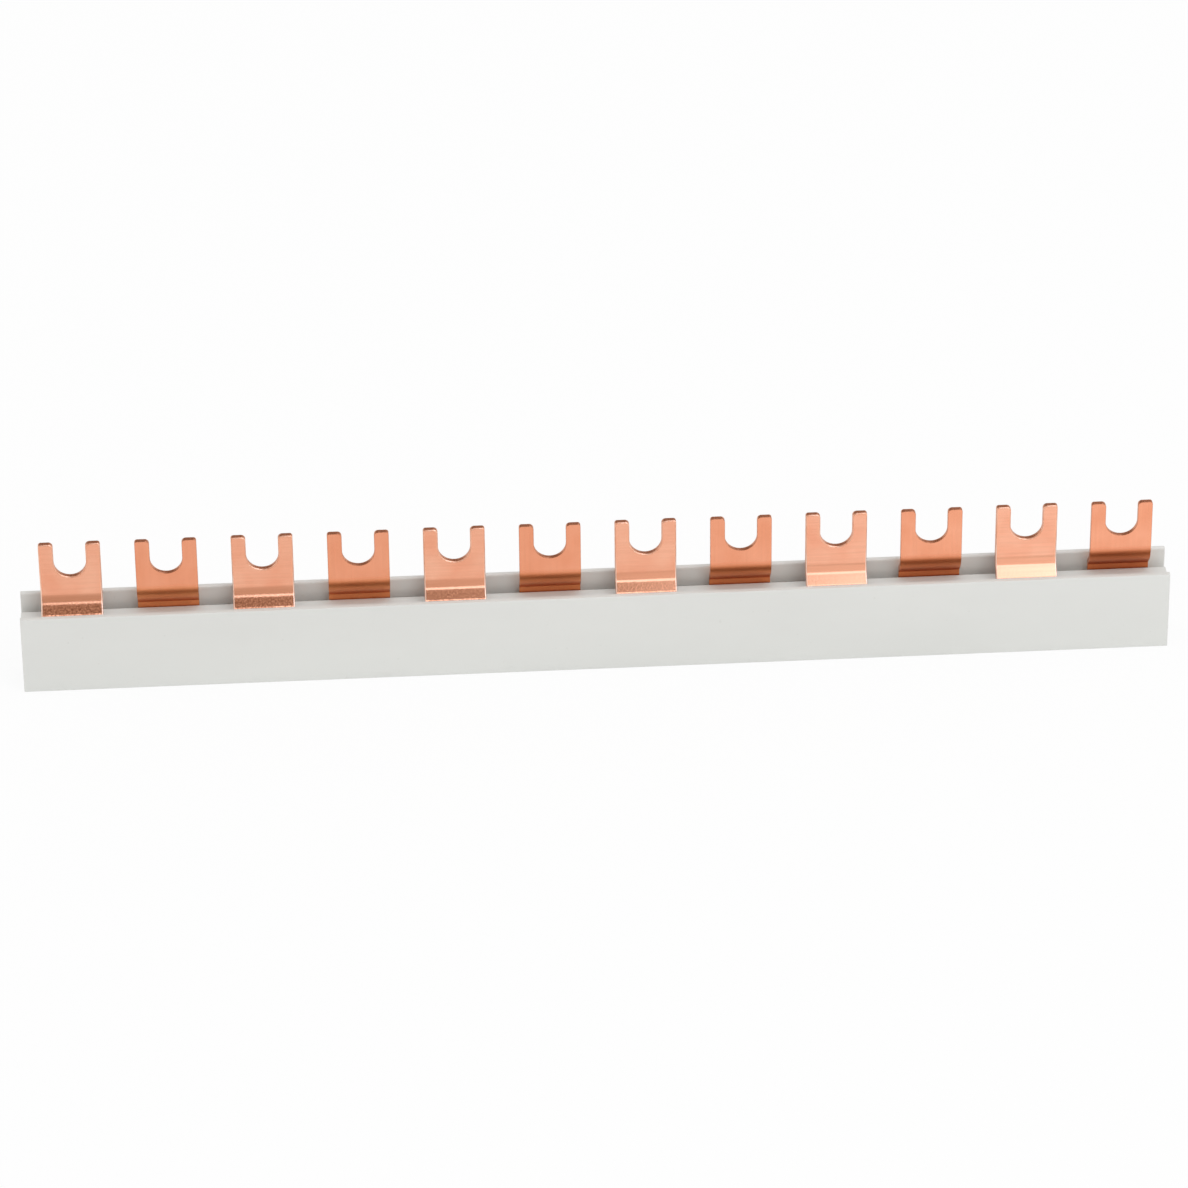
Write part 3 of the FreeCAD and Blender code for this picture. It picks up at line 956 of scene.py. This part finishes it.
hang_card("grey_cloth", (-CLOTH_HALF, FRONT, CLOTH_LOW), (CLOTH_HALF, CLOTH_JOIN, CLOTH_HIGH),
          (0.68, 1.0), CARD_FADE)
hang_card("near_cloth", (-CLOTH_HALF, CLOTH_JOIN, CLOTH_LOW), (CLOTH_HALF, CLOTH_END, CLOTH_HIGH),
          (1.02, 1.23), NEAR_FADE)
hang_card("horizon_card", (-CARD_HALF, FRONT - THIN, 0), (CARD_HALF, FRONT, STRIP_LOW),
          (0.58, 1.15), CARD_FADE)
hang_card("bright_strip", (-CARD_HALF, FRONT - THIN, STRIP_LOW), (CARD_HALF, FRONT, STRIP_HIGH),
          (1.4, 2.25), STRIP_FADE)
hang_card("upper_card", (-CARD_HALF, FRONT - THIN, STRIP_HIGH), (CARD_HALF, FRONT, CEILING),
          OVERHEAD_GLOW, OVERHEAD_FADE)
hang_card("ceiling_card", (-CARD_HALF, FRONT, CEILING), (CARD_HALF, BACK, CEILING + THIN),
          OVERHEAD_GLOW, OVERHEAD_FADE)
hang_card("back_card", (-CARD_HALF, BACK, BACK_CARD_LOW), (CARD_HALF, BACK + THIN, CEILING),
          (0.3, 0.4), CARD_FADE)
print("cards hung")

# %% [markdown]
# The window itself is a soft box above the camera, to its right. It lights the plastic and casts
# the soft shadow, and reflections leave it out, because the cards stand for it there. It could be
# a glowing card too, but a light of this size gives less noise for the same time.

# %% Set up the soft box
SOFT_BOX = (1.3, 1.5)
SOFT_BOX_PLACE = Vector((0.87, -1.145, 1.55))
SOFT_BOX_GLOW = 1.75

box_light = bpy.data.lights.new("soft_box", "AREA")
box_light.shape = "RECTANGLE"
box_light.size, box_light.size_y = SOFT_BOX
box_light.energy = SOFT_BOX_GLOW * math.pi * SOFT_BOX[0] * SOFT_BOX[1]
soft_box = bpy.data.objects.new("soft_box", box_light)
bpy.context.scene.collection.objects.link(soft_box)
facing = (-SOFT_BOX_PLACE).to_track_quat("-Z", "Y").to_matrix().to_4x4()
soft_box.matrix_world = Matrix.Translation(SOFT_BOX_PLACE) @ facing
soft_box.visible_camera = False
soft_box.visible_glossy = False
print("soft box:", round(box_light.energy, 1), "W")

# %% [markdown]
# ## The camera
#
# The picture is taken from above and a little to the left with a long lens, from more than a metre
# away, so the busbar hardly narrows with distance. The angles and the distance could be set by eye,
# but they come from fitting the twelve forks, which stand exactly one module apart.

# %% Place the camera
CAMERA_PLACE = Vector((-0.05628, -1.0016, 0.6408))
LOOK_DOWN = math.radians(32.005)
LOOK_ASIDE = math.radians(-3.192)
ROLL = math.radians(-0.596)
LENS = 191.9
SENSOR = 36.0

camera_data = bpy.data.cameras.new("camera")
camera_data.lens = LENS
camera_data.sensor_width = SENSOR
camera = bpy.data.objects.new("camera", camera_data)
bpy.context.scene.collection.objects.link(camera)
aim = Matrix.Rotation(LOOK_ASIDE, 4, "Z") @ Matrix.Rotation(math.pi / 2 - LOOK_DOWN, 4, "X")
camera.matrix_world = Matrix.Translation(CAMERA_PLACE) @ aim @ Matrix.Rotation(ROLL, 4, "Z")
bpy.context.scene.camera = camera
bpy.context.scene.view_settings.view_transform = "Standard"
print("camera at", tuple(camera.matrix_world.translation))
